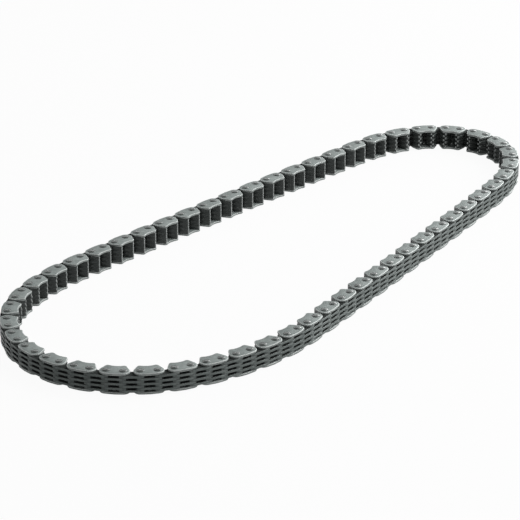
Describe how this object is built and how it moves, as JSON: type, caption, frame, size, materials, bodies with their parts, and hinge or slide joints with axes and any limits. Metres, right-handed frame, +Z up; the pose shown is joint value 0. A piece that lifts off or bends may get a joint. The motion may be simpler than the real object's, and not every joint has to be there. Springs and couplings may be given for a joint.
{
  "type": "silent chain",
  "caption": "Endless silent chain of laced toothed steel link plates between guide plates on riveted pins, teeth inside the loop, to drive toothed sprockets.",
  "frame": {"origin": "on the floor under the lower pin heads, in the middle of the loop's length and width", "axes": "+X along the loop towards its tight end, +Y across it, +Z up along the pins"},
  "size_m": [0.2861, 0.1139, 0.0096],
  "materials": {
    "chain_steel": "dark blued steel, semi-gloss, oiled, with brighter worn edges"
  },
  "bodies": {
    "link_01": {"link_01": "chain_steel"},
    "link_02": {"link_02": "chain_steel"},
    "link_03": {"link_03": "chain_steel"},
    "link_04": {"link_04": "chain_steel"},
    "link_05": {"link_05": "chain_steel"},
    "link_06": {"link_06": "chain_steel"},
    "link_07": {"link_07": "chain_steel"},
    "link_08": {"link_08": "chain_steel"},
    "link_09": {"link_09": "chain_steel"},
    "link_10": {"link_10": "chain_steel"},
    "link_11": {"link_11": "chain_steel"},
    "link_12": {"link_12": "chain_steel"},
    "link_13": {"link_13": "chain_steel"},
    "link_14": {"link_14": "chain_steel"},
    "link_15": {"link_15": "chain_steel"},
    "link_16": {"link_16": "chain_steel"},
    "link_17": {"link_17": "chain_steel"},
    "link_18": {"link_18": "chain_steel"},
    "link_19": {"link_19": "chain_steel"},
    "link_20": {"link_20": "chain_steel"},
    "link_21": {"link_21": "chain_steel"},
    "link_22": {"link_22": "chain_steel"},
    "link_23": {"link_23": "chain_steel"},
    "link_24": {"link_24": "chain_steel"},
    "link_25": {"link_25": "chain_steel"},
    "link_26": {"link_26": "chain_steel"},
    "link_27": {"link_27": "chain_steel"},
    "link_28": {"link_28": "chain_steel"},
    "link_29": {"link_29": "chain_steel"},
    "link_30": {"link_30": "chain_steel"},
    "link_31": {"link_31": "chain_steel"},
    "link_32": {"link_32": "chain_steel"},
    "link_33": {"link_33": "chain_steel"},
    "link_34": {"link_34": "chain_steel"},
    "link_35": {"link_35": "chain_steel"},
    "link_36": {"link_36": "chain_steel"},
    "link_37": {"link_37": "chain_steel"},
    "link_38": {"link_38": "chain_steel"},
    "link_39": {"link_39": "chain_steel"},
    "link_40": {"link_40": "chain_steel"},
    "link_41": {"link_41": "chain_steel"},
    "link_42": {"link_42": "chain_steel"},
    "link_43": {"link_43": "chain_steel"},
    "link_44": {"link_44": "chain_steel"},
    "link_45": {"link_45": "chain_steel"},
    "link_46": {"link_46": "chain_steel"},
    "link_47": {"link_47": "chain_steel"},
    "link_48": {"link_48": "chain_steel"},
    "link_49": {"link_49": "chain_steel"},
    "link_50": {"link_50": "chain_steel"},
    "link_51": {"link_51": "chain_steel"},
    "link_52": {"link_52": "chain_steel"}
  },
  "joints": [
    {"name": "pivot_01_02", "type": "hinge", "parent": "link_01", "child": "link_02", "pos_m": [-0.11341, 0.04409, 0.0048], "axis": [0, 0, 1], "range_deg": [-10, 10]},
    {"name": "pivot_02_03", "type": "hinge", "parent": "link_02", "child": "link_03", "pos_m": [-0.10169, 0.04893, 0.0048], "axis": [0, 0, 1], "range_deg": [-10, 10]},
    {"name": "pivot_03_04", "type": "hinge", "parent": "link_03", "child": "link_04", "pos_m": [-0.08932, 0.05177, 0.0048], "axis": [0, 0, 1], "range_deg": [-10, 10]},
    {"name": "pivot_04_05", "type": "hinge", "parent": "link_04", "child": "link_05", "pos_m": [-0.0767, 0.05314, 0.0048], "axis": [0, 0, 1], "range_deg": [-10, 10]},
    {"name": "pivot_05_06", "type": "hinge", "parent": "link_05", "child": "link_06", "pos_m": [-0.06401, 0.05361, 0.0048], "axis": [0, 0, 1], "range_deg": [-10, 10]},
    {"name": "pivot_06_07", "type": "hinge", "parent": "link_06", "child": "link_07", "pos_m": [-0.05131, 0.05376, 0.0048], "axis": [0, 0, 1], "range_deg": [-10, 10]},
    {"name": "pivot_07_08", "type": "hinge", "parent": "link_07", "child": "link_08", "pos_m": [-0.03861, 0.05391, 0.0048], "axis": [0, 0, 1], "range_deg": [-10, 10]},
    {"name": "pivot_08_09", "type": "hinge", "parent": "link_08", "child": "link_09", "pos_m": [-0.02591, 0.05404, 0.0048], "axis": [0, 0, 1], "range_deg": [-10, 10]},
    {"name": "pivot_09_10", "type": "hinge", "parent": "link_09", "child": "link_10", "pos_m": [-0.01321, 0.05412, 0.0048], "axis": [0, 0, 1], "range_deg": [-10, 10]},
    {"name": "pivot_10_11", "type": "hinge", "parent": "link_10", "child": "link_11", "pos_m": [-0.00051, 0.05414, 0.0048], "axis": [0, 0, 1], "range_deg": [-10, 10]},
    {"name": "pivot_11_12", "type": "hinge", "parent": "link_11", "child": "link_12", "pos_m": [0.01219, 0.05416, 0.0048], "axis": [0, 0, 1], "range_deg": [-10, 10]},
    {"name": "pivot_12_13", "type": "hinge", "parent": "link_12", "child": "link_13", "pos_m": [0.02489, 0.05416, 0.0048], "axis": [0, 0, 1], "range_deg": [-10, 10]},
    {"name": "pivot_13_14", "type": "hinge", "parent": "link_13", "child": "link_14", "pos_m": [0.03759, 0.05411, 0.0048], "axis": [0, 0, 1], "range_deg": [-10, 10]},
    {"name": "pivot_14_15", "type": "hinge", "parent": "link_14", "child": "link_15", "pos_m": [0.05029, 0.05399, 0.0048], "axis": [0, 0, 1], "range_deg": [-10, 10]},
    {"name": "pivot_15_16", "type": "hinge", "parent": "link_15", "child": "link_16", "pos_m": [0.06299, 0.05388, 0.0048], "axis": [0, 0, 1], "range_deg": [-10, 10]},
    {"name": "pivot_16_17", "type": "hinge", "parent": "link_16", "child": "link_17", "pos_m": [0.07569, 0.05375, 0.0048], "axis": [0, 0, 1], "range_deg": [-10, 10]},
    {"name": "pivot_17_18", "type": "hinge", "parent": "link_17", "child": "link_18", "pos_m": [0.08839, 0.05356, 0.0048], "axis": [0, 0, 1], "range_deg": [-10, 10]},
    {"name": "pivot_18_19", "type": "hinge", "parent": "link_18", "child": "link_19", "pos_m": [0.10107, 0.05292, 0.0048], "axis": [0, 0, 1], "range_deg": [-10, 10]},
    {"name": "pivot_19_20", "type": "hinge", "parent": "link_19", "child": "link_20", "pos_m": [0.11356, 0.05068, 0.0048], "axis": [0, 0, 1], "range_deg": [-10, 10]},
    {"name": "pivot_20_21", "type": "hinge", "parent": "link_20", "child": "link_21", "pos_m": [0.12519, 0.04566, 0.0048], "axis": [0, 0, 1], "range_deg": [-10, 10]},
    {"name": "pivot_21_22", "type": "hinge", "parent": "link_21", "child": "link_22", "pos_m": [0.13453, 0.03715, 0.0048], "axis": [0, 0, 1], "range_deg": [-10, 10]},
    {"name": "pivot_22_23", "type": "hinge", "parent": "link_22", "child": "link_23", "pos_m": [0.13978, 0.02566, 0.0048], "axis": [0, 0, 1], "range_deg": [-10, 10]},
    {"name": "pivot_23_24", "type": "hinge", "parent": "link_23", "child": "link_24", "pos_m": [0.14001, 0.01303, 0.0048], "axis": [0, 0, 1], "range_deg": [-10, 10]},
    {"name": "pivot_24_25", "type": "hinge", "parent": "link_24", "child": "link_25", "pos_m": [0.13511, 0.00139, 0.0048], "axis": [0, 0, 1], "range_deg": [-10, 10]},
    {"name": "pivot_25_26", "type": "hinge", "parent": "link_25", "child": "link_26", "pos_m": [0.12634, -0.00774, 0.0048], "axis": [0, 0, 1], "range_deg": [-10, 10]},
    {"name": "pivot_26_27", "type": "hinge", "parent": "link_26", "child": "link_27", "pos_m": [0.11539, -0.01414, 0.0048], "axis": [0, 0, 1], "range_deg": [-10, 10]},
    {"name": "pivot_52_01", "type": "hinge", "parent": "link_01", "child": "link_52", "pos_m": [-0.12379, 0.03681, 0.0048], "axis": [0, 0, 1], "range_deg": [-10, 10]},
    {"name": "pivot_51_52", "type": "hinge", "parent": "link_52", "child": "link_51", "pos_m": [-0.132, 0.02716, 0.0048], "axis": [0, 0, 1], "range_deg": [-10, 10]},
    {"name": "pivot_50_51", "type": "hinge", "parent": "link_51", "child": "link_50", "pos_m": [-0.13753, 0.01575, 0.0048], "axis": [0, 0, 1], "range_deg": [-10, 10]},
    {"name": "pivot_49_50", "type": "hinge", "parent": "link_50", "child": "link_49", "pos_m": [-0.14001, 0.00332, 0.0048], "axis": [0, 0, 1], "range_deg": [-10, 10]},
    {"name": "pivot_48_49", "type": "hinge", "parent": "link_49", "child": "link_48", "pos_m": [-0.13922, -0.00932, 0.0048], "axis": [0, 0, 1], "range_deg": [-10, 10]},
    {"name": "pivot_47_48", "type": "hinge", "parent": "link_48", "child": "link_47", "pos_m": [-0.1352, -0.02134, 0.0048], "axis": [0, 0, 1], "range_deg": [-10, 10]},
    {"name": "pivot_46_47", "type": "hinge", "parent": "link_47", "child": "link_46", "pos_m": [-0.12825, -0.03194, 0.0048], "axis": [0, 0, 1], "range_deg": [-10, 10]},
    {"name": "pivot_45_46", "type": "hinge", "parent": "link_46", "child": "link_45", "pos_m": [-0.1188, -0.04039, 0.0048], "axis": [0, 0, 1], "range_deg": [-10, 10]},
    {"name": "pivot_44_45", "type": "hinge", "parent": "link_45", "child": "link_44", "pos_m": [-0.10757, -0.04628, 0.0048], "axis": [0, 0, 1], "range_deg": [-10, 10]},
    {"name": "pivot_43_44", "type": "hinge", "parent": "link_44", "child": "link_43", "pos_m": [-0.09559, -0.05048, 0.0048], "axis": [0, 0, 1], "range_deg": [-10, 10]},
    {"name": "pivot_42_43", "type": "hinge", "parent": "link_43", "child": "link_42", "pos_m": [-0.08317, -0.05312, 0.0048], "axis": [0, 0, 1], "range_deg": [-10, 10]},
    {"name": "pivot_41_42", "type": "hinge", "parent": "link_42", "child": "link_41", "pos_m": [-0.07052, -0.05416, 0.0048], "axis": [0, 0, 1], "range_deg": [-10, 10]},
    {"name": "pivot_40_41", "type": "hinge", "parent": "link_41", "child": "link_40", "pos_m": [-0.05784, -0.05361, 0.0048], "axis": [0, 0, 1], "range_deg": [-10, 10]},
    {"name": "pivot_39_40", "type": "hinge", "parent": "link_40", "child": "link_39", "pos_m": [-0.04532, -0.05149, 0.0048], "axis": [0, 0, 1], "range_deg": [-10, 10]},
    {"name": "pivot_38_39", "type": "hinge", "parent": "link_39", "child": "link_38", "pos_m": [-0.03289, -0.04892, 0.0048], "axis": [0, 0, 1], "range_deg": [-10, 10]},
    {"name": "pivot_37_38", "type": "hinge", "parent": "link_38", "child": "link_37", "pos_m": [-0.02046, -0.04629, 0.0048], "axis": [0, 0, 1], "range_deg": [-10, 10]},
    {"name": "pivot_36_37", "type": "hinge", "parent": "link_37", "child": "link_36", "pos_m": [-0.00804, -0.04366, 0.0048], "axis": [0, 0, 1], "range_deg": [-10, 10]},
    {"name": "pivot_35_36", "type": "hinge", "parent": "link_36", "child": "link_35", "pos_m": [0.00439, -0.04102, 0.0048], "axis": [0, 0, 1], "range_deg": [-10, 10]},
    {"name": "pivot_34_35", "type": "hinge", "parent": "link_35", "child": "link_34", "pos_m": [0.0168, -0.03832, 0.0048], "axis": [0, 0, 1], "range_deg": [-10, 10]},
    {"name": "pivot_33_34", "type": "hinge", "parent": "link_34", "child": "link_33", "pos_m": [0.02919, -0.03556, 0.0048], "axis": [0, 0, 1], "range_deg": [-10, 10]},
    {"name": "pivot_32_33", "type": "hinge", "parent": "link_33", "child": "link_32", "pos_m": [0.04159, -0.0328, 0.0048], "axis": [0, 0, 1], "range_deg": [-10, 10]},
    {"name": "pivot_31_32", "type": "hinge", "parent": "link_32", "child": "link_31", "pos_m": [0.05398, -0.03003, 0.0048], "axis": [0, 0, 1], "range_deg": [-10, 10]},
    {"name": "pivot_30_31", "type": "hinge", "parent": "link_31", "child": "link_30", "pos_m": [0.06636, -0.0272, 0.0048], "axis": [0, 0, 1], "range_deg": [-10, 10]},
    {"name": "pivot_29_30", "type": "hinge", "parent": "link_30", "child": "link_29", "pos_m": [0.07873, -0.0243, 0.0048], "axis": [0, 0, 1], "range_deg": [-10, 10]},
    {"name": "pivot_28_29", "type": "hinge", "parent": "link_29", "child": "link_28", "pos_m": [0.09109, -0.02141, 0.0048], "axis": [0, 0, 1], "range_deg": [-10, 10]}
  ],
  "couplings": [
    {"joint": "pivot_02_03", "follows": "pivot_01_02", "ratio": -1},
    {"joint": "pivot_03_04", "follows": "pivot_52_01", "ratio": 1},
    {"joint": "pivot_04_05", "follows": "pivot_52_01", "ratio": -1},
    {"joint": "pivot_05_06", "follows": "pivot_01_02", "ratio": 1},
    {"joint": "pivot_06_07", "follows": "pivot_01_02", "ratio": -1},
    {"joint": "pivot_07_08", "follows": "pivot_52_01", "ratio": 1},
    {"joint": "pivot_08_09", "follows": "pivot_52_01", "ratio": -1},
    {"joint": "pivot_09_10", "follows": "pivot_01_02", "ratio": 1},
    {"joint": "pivot_10_11", "follows": "pivot_01_02", "ratio": -1},
    {"joint": "pivot_11_12", "follows": "pivot_52_01", "ratio": 1},
    {"joint": "pivot_12_13", "follows": "pivot_52_01", "ratio": -1},
    {"joint": "pivot_13_14", "follows": "pivot_01_02", "ratio": 1},
    {"joint": "pivot_14_15", "follows": "pivot_01_02", "ratio": -1},
    {"joint": "pivot_15_16", "follows": "pivot_52_01", "ratio": 1},
    {"joint": "pivot_16_17", "follows": "pivot_52_01", "ratio": -1},
    {"joint": "pivot_17_18", "follows": "pivot_01_02", "ratio": 1},
    {"joint": "pivot_18_19", "follows": "pivot_01_02", "ratio": -1},
    {"joint": "pivot_19_20", "follows": "pivot_52_01", "ratio": 1},
    {"joint": "pivot_20_21", "follows": "pivot_52_01", "ratio": -1},
    {"joint": "pivot_21_22", "follows": "pivot_01_02", "ratio": 1},
    {"joint": "pivot_22_23", "follows": "pivot_01_02", "ratio": -1},
    {"joint": "pivot_23_24", "follows": "pivot_52_01", "ratio": 1},
    {"joint": "pivot_24_25", "follows": "pivot_52_01", "ratio": -1},
    {"joint": "pivot_25_26", "follows": "pivot_01_02", "ratio": 1},
    {"joint": "pivot_26_27", "follows": "pivot_01_02", "ratio": -1},
    {"joint": "pivot_51_52", "follows": "pivot_52_01", "ratio": -1},
    {"joint": "pivot_50_51", "follows": "pivot_01_02", "ratio": 1},
    {"joint": "pivot_49_50", "follows": "pivot_01_02", "ratio": -1},
    {"joint": "pivot_48_49", "follows": "pivot_52_01", "ratio": 1},
    {"joint": "pivot_47_48", "follows": "pivot_52_01", "ratio": -1},
    {"joint": "pivot_46_47", "follows": "pivot_01_02", "ratio": 1},
    {"joint": "pivot_45_46", "follows": "pivot_01_02", "ratio": -1},
    {"joint": "pivot_44_45", "follows": "pivot_52_01", "ratio": 1},
    {"joint": "pivot_43_44", "follows": "pivot_52_01", "ratio": -1},
    {"joint": "pivot_42_43", "follows": "pivot_01_02", "ratio": 1},
    {"joint": "pivot_41_42", "follows": "pivot_01_02", "ratio": -1},
    {"joint": "pivot_40_41", "follows": "pivot_52_01", "ratio": 1},
    {"joint": "pivot_39_40", "follows": "pivot_52_01", "ratio": -1},
    {"joint": "pivot_38_39", "follows": "pivot_01_02", "ratio": 1},
    {"joint": "pivot_37_38", "follows": "pivot_01_02", "ratio": -1},
    {"joint": "pivot_36_37", "follows": "pivot_52_01", "ratio": 1},
    {"joint": "pivot_35_36", "follows": "pivot_52_01", "ratio": -1},
    {"joint": "pivot_34_35", "follows": "pivot_01_02", "ratio": 1},
    {"joint": "pivot_33_34", "follows": "pivot_01_02", "ratio": -1},
    {"joint": "pivot_32_33", "follows": "pivot_52_01", "ratio": 1},
    {"joint": "pivot_31_32", "follows": "pivot_52_01", "ratio": -1},
    {"joint": "pivot_30_31", "follows": "pivot_01_02", "ratio": 1},
    {"joint": "pivot_29_30", "follows": "pivot_01_02", "ratio": -1},
    {"joint": "pivot_28_29", "follows": "pivot_52_01", "ratio": 1}
  ]
}
